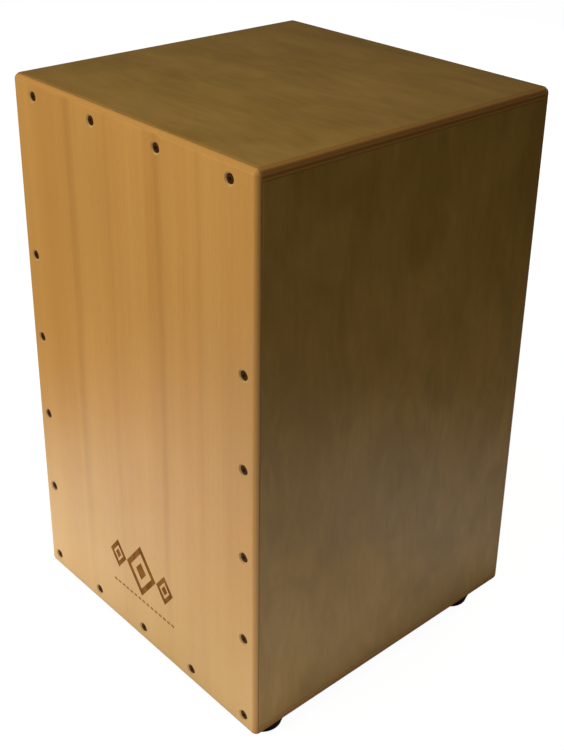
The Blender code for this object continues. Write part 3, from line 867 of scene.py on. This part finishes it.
def strip_object(name, centre, steel):
    """Return a snare set's bright strip, with rounded corners and two screw holes."""
    plate = box_shape((centre - STRIP_HALF_WIDTH, STRIP_FRONT, -STRIP_HALF_HEIGHT),
                      (centre + STRIP_HALF_WIDTH, STRIP_FRONT + STRIP_THICKNESS, STRIP_HALF_HEIGHT))
    corners = [edge for edge in plate.edges if edge.calc_length() < 2 * STRIP_THICKNESS]
    bmesh.ops.bevel(plate, geom=corners, offset=STRIP_CORNER, segments=6, profile=0.5, affect="EDGES")
    strip = new_object(name, plate, steel)
    holes = bmesh.new()
    outline = [(0, STRIP_FRONT - OVERCUT), (STRIP_HOLE, STRIP_FRONT - OVERCUT), (STRIP_HOLE, 0), (0, 0)]
    for x in (centre - STRIP_SCREW_X, centre + STRIP_SCREW_X):
        add_turned(holes, outline, 24, Matrix.Translation((x, 0, STRIP_SCREW_Z)) @ TO_REAR)
    tool = new_object("holes", holes)
    combine(strip, "DIFFERENCE", tool)
    freeze(strip, [tool])
    strip.data.shade_smooth()
    strip.data.set_sharp_from_angle(angle=SMOOTH_ANGLE)
    return strip


def make_snare_sets(pivot, steel, zinc):
    """Make the two snare sets: a strip, ten coiled wires and two screws each."""
    for side, centre in (("left", -SET_X), ("right", SET_X)):
        strip = strip_object(f"snare_set_{side}_finished", centre, steel)
        wire_x = [centre + WIRE_PITCH * (index - (WIRES - 1) / 2) for index in range(WIRES)]
        coils = coil_mesh([(x, STRIP_FRONT - COIL_RADIUS / 2) for x in wire_x], WIRE_START, WIRE_END)
        whole = bmesh.new()
        whole.from_mesh(strip.data)
        whole.from_mesh(coils)
        bmesh.ops.recalc_face_normals(whole, faces=whole.faces)
        whole.to_mesh(strip.data)
        whole.free()
        strip.data.transform(pivot)
        hand_over(strip, SNARE, "wire_steel", f"snare_set_{side}")

    mesh = pan_headed(head=0.003, height=0.002, shank=0.0014, length=0.010, reach=0.0016)
    screw_x = [centre + x for centre in (-SET_X, SET_X) for x in (-STRIP_SCREW_X, STRIP_SCREW_X)]
    for number, x in enumerate(screw_x, start=1):
        name = f"snare_screw_{number}"
        crown = Matrix.Translation((x, STRIP_FRONT - STRIP_SCREW_PROUD, STRIP_SCREW_Z))
        place = pivot @ crown @ TO_REAR @ Matrix.Rotation(SNARE_SCREW_TURN * number, 4, "Z")
        place_copy(f"{name}_finished", mesh, place, zinc, SNARE, "zinc_steel", name)


def make_lever(pivot, zinc, wood):
    """Make the hand lever with its wooden ball."""
    round_centre = (LEVER_RADIUS - LEVER_ROUND, LEVER_END + LEVER_ROUND)
    rod = [(0, LEVER_END), *arc(round_centre, LEVER_ROUND, -90, 0, 3),
           (LEVER_RADIUS, LEVER_TOP), (0, LEVER_TOP)]
    lever = new_object("snare_lever_finished", turned(rod, place=pivot), zinc)
    smooth(lever)
    hand_over(lever, SNARE, "zinc_steel", "snare_lever")
    mouth_angle = math.degrees(math.acos(BALL_MOUTH / BALL_RADIUS))
    ball = [(0, LEVER_END - BALL_RADIUS), *arc((0, LEVER_END), BALL_RADIUS, -86, mouth_angle, 26),
            (BALL_MOUTH, BALL_FLOOR), (0, BALL_FLOOR)]
    tip = new_object("lever_tip_finished", turned(ball, steps=48, place=pivot), wood)
    smooth(tip)
    hand_over(tip, SNARE, "batten_wood", "lever_tip")


def make_felt_washers(pivot, felt):
    """Make the felt washers at the ends of the bar, pressed a little against the bar and the blocks."""
    for name, turn in (("felt_washer_left", TO_LEFT), ("felt_washer_right", TO_RIGHT)):
        low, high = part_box(name)
        near, far = sorted((abs(low.x), abs(high.x)))
        outline = ring(FELT_HOLE, FELT_RADIUS, near - FELT_SQUEEZE, far + FELT_SQUEEZE, FELT_CHAMFER)
        washer = new_object(f"{name}_finished", turned(outline, place=pivot @ turn), felt)
        smooth(washer)
        hand_over(washer, SNARE, "grey_felt", name)


zinc_steel = metal_material("zinc_steel", (0.55, 0.55, 0.53), 0.28, 0.45, 700)
wire_steel = metal_material("wire_steel", (0.66, 0.65, 0.62), 0.20, 0.35, 500)
make_tapa()
make_back()
make_corpus()
make_tapa_screws(black_steel_material())
make_feet(rubber_material(), zinc_steel)
make_block_screws(zinc_steel)
hinge = Vector(frame["joints"][0]["pos_m"])
snare_pivot = Matrix.Translation(hinge) @ Matrix.Rotation(SNARE_LEAN, 4, "X")
make_snare_sets(snare_pivot, wire_steel, zinc_steel)
make_lever(snare_pivot, zinc_steel, plain_wood_material("turned_wood", Z, BALL_DARK, BALL_LIGHT))
make_felt_washers(snare_pivot, felt_material())
rails = [name for name in frame["nodes"] if "_rail_" in name]
stiles = [name for name in frame["nodes"] if "_stile_" in name]
paint(plain_wood_material("batten_across", X, BATTEN_DARK, BATTEN_LIGHT), "snare_bar", *rails)
paint(plain_wood_material("batten_upright", Z, BATTEN_DARK, BATTEN_LIGHT),
      "pivot_block_left", "pivot_block_right", *stiles)
paint(zinc_steel, "pivot_pin_left", "pivot_pin_right")


# ---------------------------------------------------------------- stage

def ray_mix(tree, kind, first, rest):
    """Return a shader output that one kind of ray sees as one shader and all other rays as another."""
    path = tree.nodes.new("ShaderNodeLightPath")
    mix = tree.nodes.new("ShaderNodeMixShader")
    tree.links.new(path.outputs[kind], mix.inputs[0])
    tree.links.new(rest, mix.inputs[1])
    tree.links.new(first, mix.inputs[2])
    return mix.outputs[0]


def make_world():
    """A white backdrop that gives off very little light, and less still in reflections."""
    world = bpy.data.worlds.new("studio")
    bpy.context.scene.world = world
    world.use_nodes = True
    tree = world.node_tree
    tree.nodes.clear()
    backgrounds = []
    for strength in (1.0, AMBIENT, AMBIENT_REFLECTED):
        background = tree.nodes.new("ShaderNodeBackground")
        background.inputs["Color"].default_value = (1, 1, 1, 1)
        background.inputs["Strength"].default_value = strength
        backgrounds.append(background.outputs[0])
    white, dim, reflected = backgrounds
    unseen = ray_mix(tree, "Is Glossy Ray", reflected, dim)
    output = tree.nodes.new("ShaderNodeOutputWorld")
    tree.links.new(ray_mix(tree, "Is Camera Ray", white, unseen), output.inputs[0])


def make_floor():
    """A pale floor.  Rays other than the camera's find it glowing in soft pools, and dark under the drum."""
    shader = Shader("floor")
    tree = shader.tree
    total = 0.0
    for x, y, inner, outer, strength in FLOOR_POOLS:
        offset = shader.node("ShaderNodeVectorMath", operation="DISTANCE")
        shader.feed(offset.inputs[0], shader.place)
        shader.feed(offset.inputs[1], (x, y, 0))
        pool = shader.span(offset.outputs["Value"], inner, outer, strength, 0.0)
        total = shader.math("ADD", pool, total)
    beside = shader.math("SUBTRACT", shader.math("ABSOLUTE", shader.axis(X)), form_high.x)
    behind = shader.math("SUBTRACT", shader.axis(Y), form_high.y)
    before = shader.math("MULTIPLY", shader.math("SUBTRACT", form_low.y, shader.axis(Y)), UNLIT_FRONT_RATE)
    clear = shader.math("MAXIMUM", shader.math("MAXIMUM", beside, behind), before)
    glow = shader.node("ShaderNodeEmission")
    shader.feed(glow.inputs["Strength"], shader.math("MULTIPLY", total, shader.span(clear, *UNLIT_FLOOR)))
    white = shader.node("ShaderNodeEmission")
    shader.feed(white.inputs["Strength"], FLOOR_WHITE)
    matte = shader.node("ShaderNodeBsdfDiffuse")
    shader.feed(matte.inputs["Color"], FLOOR_MATTE)
    seen = shader.node("ShaderNodeAddShader")
    shader.feed(seen.inputs[0], white.outputs[0])
    shader.feed(seen.inputs[1], matte.outputs[0])
    tree.nodes.remove(shader.bsdf)
    output = tree.nodes["Material Output"]
    tree.links.new(ray_mix(tree, "Is Camera Ray", seen.outputs[0], glow.outputs[0]), output.inputs[0])
    shape = bmesh.new()
    bmesh.ops.create_grid(shape, size=FLOOR_REACH)
    floor = new_object("floor", shape, shader.material)
    floor.location.z = cad_low.z - FLOOR_DROP


def make_light(name, place, size, power):
    """A square area light aimed at the middle of the drum, and not mirrored in its lacquer."""
    data = bpy.data.lights.new(name, "AREA")
    data.size = size
    data.energy = power
    light = bpy.data.objects.new(name, data)
    bpy.context.scene.collection.objects.link(light)
    light.location = place
    light.rotation_euler = (LIGHT_TARGET - Vector(place)).to_track_quat("-Z", "Y").to_euler()
    light.visible_camera = False
    light.visible_glossy = False


def make_camera():
    """The photograph's view: above the right front corner, looking down at the tapa and the right side."""
    azimuth, elevation, roll = (math.radians(angle) for angle in CAMERA_ANGLES)
    back = Vector((math.sin(azimuth) * math.cos(elevation), -math.cos(azimuth) * math.cos(elevation),
                   math.sin(elevation)))
    right = Matrix.Rotation(roll, 3, back) @ Vector((math.cos(azimuth), math.sin(azimuth), 0))
    data = bpy.data.cameras.new("camera")
    data.sensor_fit = "VERTICAL"
    data.sensor_height = FRAME_HEIGHT
    data.lens = CAMERA_LENS
    data.shift_y = CAMERA_SHIFT
    camera = bpy.data.objects.new("camera", data)
    bpy.context.scene.collection.objects.link(camera)
    matrix = Matrix((right, back.cross(right), back)).transposed().to_4x4()
    matrix.translation = CAMERA_PLACE
    camera.matrix_world = matrix
    bpy.context.scene.camera = camera


make_world()
make_floor()
make_light("key", (-1.45, -2.05, 0.55), size=1.0, power=38)
make_light("overhead", (0.08, -0.50, 1.15), size=0.4, power=2.6)
make_light("back_fill", (-0.50, 2.30, 0.25), size=0.7, power=26)
make_camera()
bpy.context.scene.view_settings.view_transform = "Standard"
